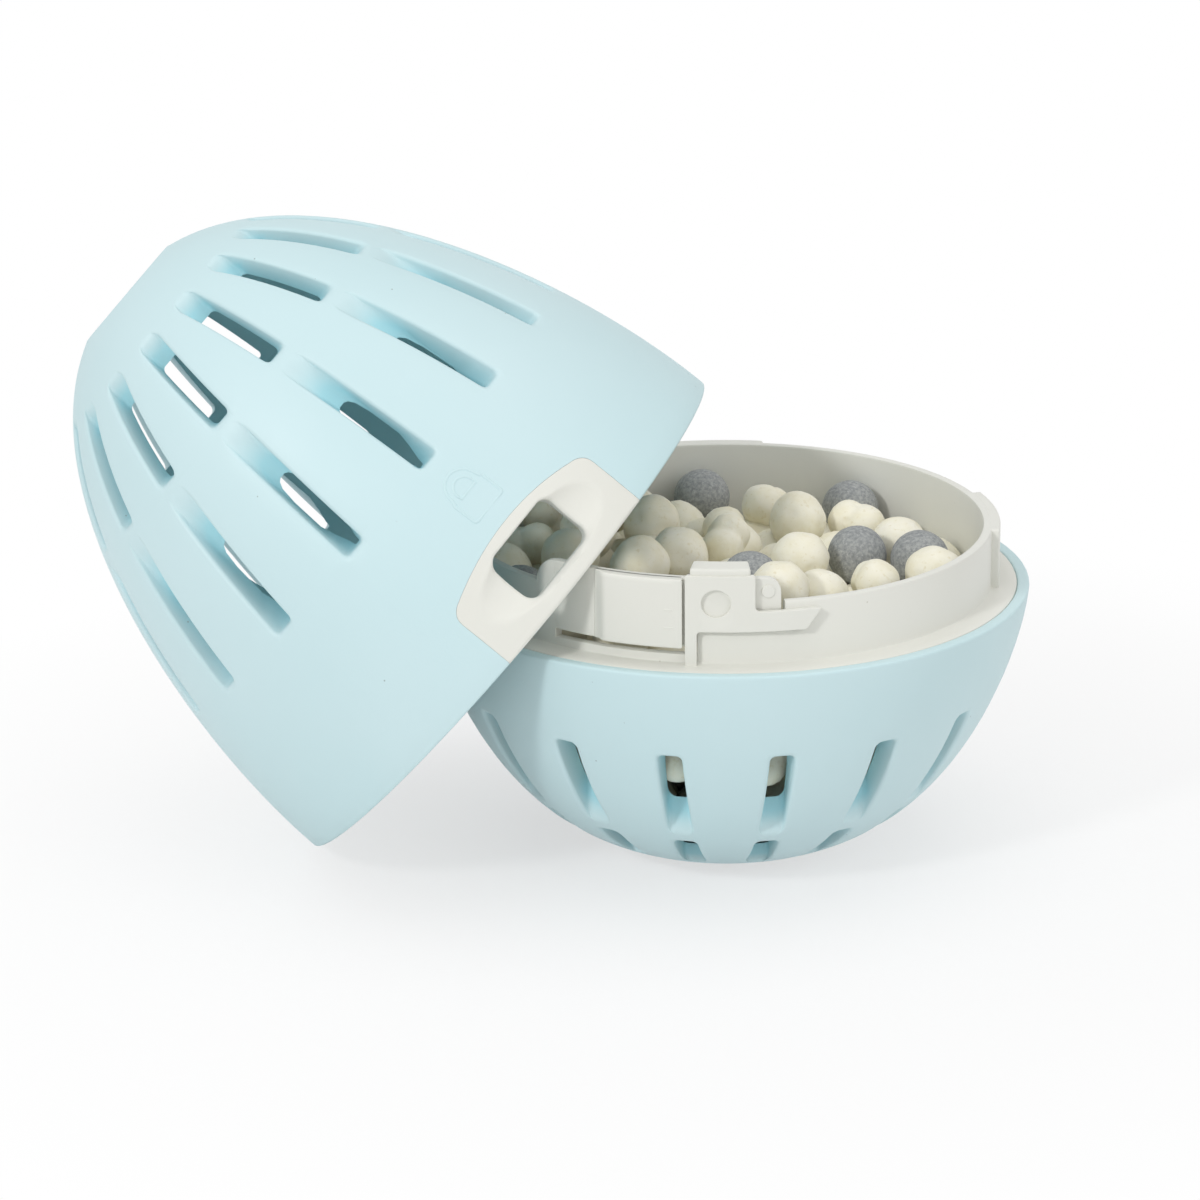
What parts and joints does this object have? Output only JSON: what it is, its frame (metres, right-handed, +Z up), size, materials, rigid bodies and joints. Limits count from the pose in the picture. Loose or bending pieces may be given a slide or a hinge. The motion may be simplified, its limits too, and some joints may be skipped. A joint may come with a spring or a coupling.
{
  "type": "laundry egg",
  "caption": "Slotted egg-shaped laundry ball, opened: bowl with a latched bayonet collar, filled with mineral pellets, and its slotted dome lid leaning against it.",
  "frame": {"origin": "middle of the bowl's flat foot, on the table", "axes": "+Z up along the bowl's axis, -Y to the front where the latch is, +X to the right"},
  "size_m": [0.149, 0.0967, 0.0985],
  "materials": {
    "shell_blue": "satin",
    "fitting_white": "satin",
    "mineral_cream": "matt",
    "mineral_grey": "matt"
  },
  "bodies": {
    "base": {"lower_shell": "shell_blue", "collar_ring": "fitting_white", "pellet_bed": "mineral_cream", "mineral_ball_01": "mineral_grey", "mineral_ball_02": "mineral_grey", "mineral_ball_03": "mineral_grey", "mineral_ball_04": "mineral_grey", "mineral_ball_05": "mineral_grey", "mineral_ball_06": "mineral_grey", "mineral_ball_07": "mineral_grey", "pellet_01": "mineral_cream", "pellet_02": "mineral_cream", "pellet_03": "mineral_cream", "pellet_04": "mineral_cream", "pellet_05": "mineral_cream", "pellet_06": "mineral_cream", "pellet_07": "mineral_cream", "pellet_08": "mineral_cream", "pellet_09": "mineral_cream", "pellet_10": "mineral_cream", "pellet_11": "mineral_cream", "pellet_12": "mineral_cream", "pellet_13": "mineral_cream", "pellet_14": "mineral_cream", "pellet_15": "mineral_cream", "pellet_16": "mineral_cream", "pellet_17": "mineral_cream", "pellet_18": "mineral_cream", "pellet_19": "mineral_cream", "pellet_20": "mineral_cream", "pellet_21": "mineral_cream", "pellet_22": "mineral_cream", "pellet_23": "mineral_cream"},
    "latch": {"latch_tongue": "fitting_white"},
    "lid": {"upper_shell": "shell_blue", "lid_ring": "fitting_white"}
  },
  "joints": [
    {"name": "lid_lift", "type": "slide", "parent": "base", "child": "lid", "axis": [-0.756, 0.0701, 0.6508], "range_m": [0, 0.08]},
    {"name": "latch_press", "type": "hinge", "parent": "base", "child": "latch", "pos_m": [-0.01925, -0.0362, 0.051], "axis": [0, 0, 1], "range_deg": [0, 6], "stiffness_Nm_per_rad": 0.2}
  ]
}
